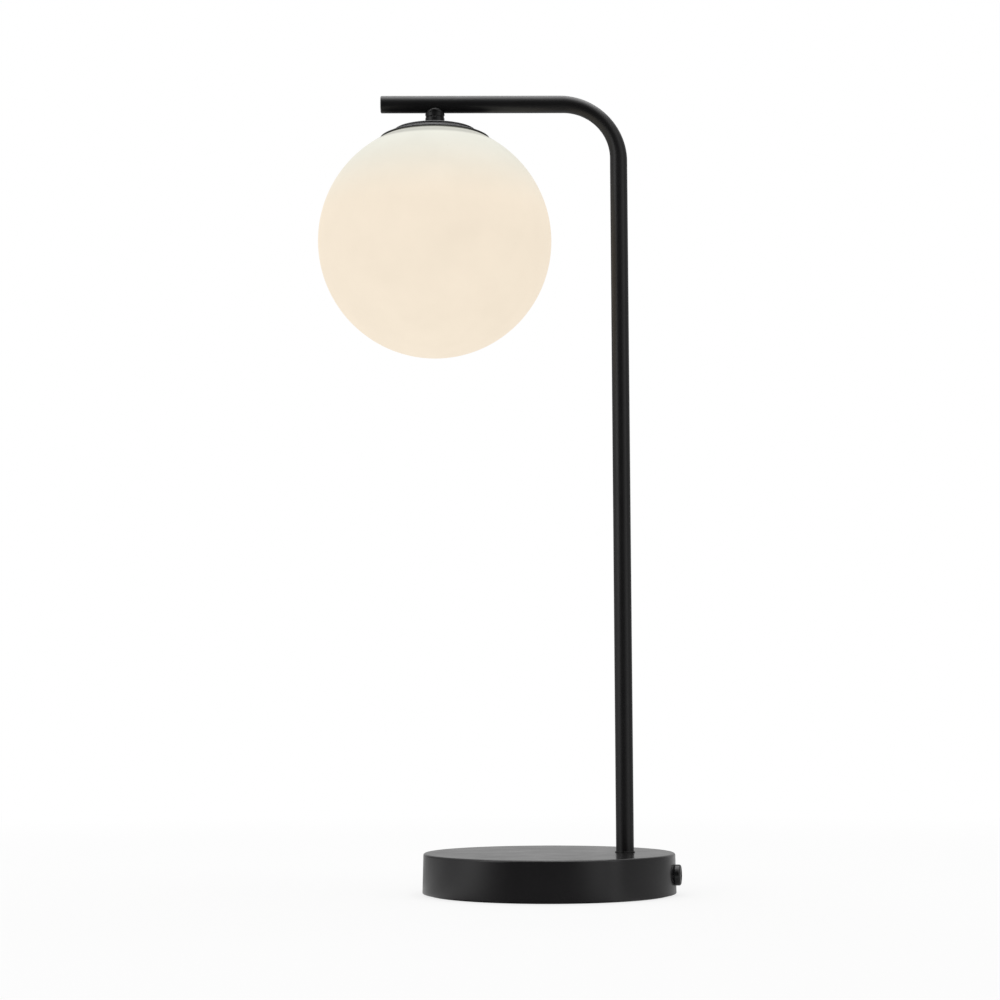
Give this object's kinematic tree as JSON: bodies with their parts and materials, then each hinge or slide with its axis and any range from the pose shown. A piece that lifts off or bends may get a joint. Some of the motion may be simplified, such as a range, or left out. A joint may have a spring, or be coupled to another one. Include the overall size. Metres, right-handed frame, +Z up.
{
  "type": "table lamp",
  "caption": "Table lamp with a round weighted base, an off-centre tube post bent over into a short arm, and an opal glass globe hung under the arm by a stepped cap.",
  "frame": {"origin": "middle of the round base, on the surface the lamp stands on", "axes": "+Z up; the arm points to -X from the post, which stands at +X of the base's middle; -Y is the front seen in the picture"},
  "size_m": [0.2605, 0.18, 0.5816],
  "materials": {
    "black_paint": "satin powder coat, near black",
    "cast_weight": "rough casting, machined faces",
    "zinc_steel": "zinc plated",
    "spring_steel": "bright spring steel",
    "brass": "bright brass",
    "nickel": "nickel plated",
    "black_plastic": "moulded, fine texture",
    "white_plastic": "moulded",
    "foot_felt": "dense felt",
    "seal_rubber": "translucent silicone",
    "opal_glass": "three-layer opal glass, matte outside",
    "frosted_glass": "frosted inside",
    "dark_glass": "dark glass insulator",
    "holder_ceramic": "unglazed steatite",
    "live_cover": "brown silicone insulation",
    "neutral_cover": "blue silicone insulation",
    "earth_cover": "green and yellow insulation"
  },
  "bodies": {
    "stand": {"base_cover": "black_paint", "cover_studs": "zinc_steel", "stud_nuts": "zinc_steel", "counterweight": "cast_weight", "bottom_plate": "zinc_steel", "plate_screws": "zinc_steel", "foot_pad": "foot_felt", "cord_bushing": "black_plastic", "bushing_nut": "black_plastic", "terminal_block": "white_plastic", "terminal_sleeves": "brass", "terminal_screws": "zinc_steel", "block_screws": "zinc_steel", "earth_tag": "nickel", "earth_screw": "zinc_steel", "earth_lead": "earth_cover", "post_foot_ring": "black_paint", "post_nipple": "zinc_steel", "post_washer": "zinc_steel", "post_locknut": "zinc_steel", "nipple_bush": "white_plastic", "lamp_tube": "black_paint", "arm_end_plug": "black_paint", "neck_collar": "black_paint", "neck_sleeve": "black_paint", "neck_nipple": "zinc_steel", "globe_cap": "black_paint", "cap_locknut": "zinc_steel", "globe_clip": "spring_steel", "glass_seal": "seal_rubber", "holder_cap": "black_plastic", "holder_skirt": "black_plastic", "holder_core": "holder_ceramic", "holder_screw_shell": "brass", "holder_contact": "brass", "holder_terminals": "brass", "holder_terminal_screws": "zinc_steel", "live_lead": "live_cover", "neutral_lead": "neutral_cover"},
    "globe": {"glass_globe": "opal_glass"},
    "bulb": {"bulb_glass": "frosted_glass", "bulb_housing": "white_plastic", "bulb_screw_cap": "nickel", "bulb_insulator": "dark_glass", "bulb_contact": "nickel"}
  },
  "joints": [
    {"name": "globe_pull", "type": "slide", "parent": "stand", "child": "globe", "axis": [0, 0, -1], "range_m": [0, 0.12], "deforming": ["globe_clip"]},
    {"name": "bulb_out", "type": "slide", "parent": "stand", "child": "bulb", "axis": [0, 0, -1], "range_m": [0, 0.03]}
  ]
}
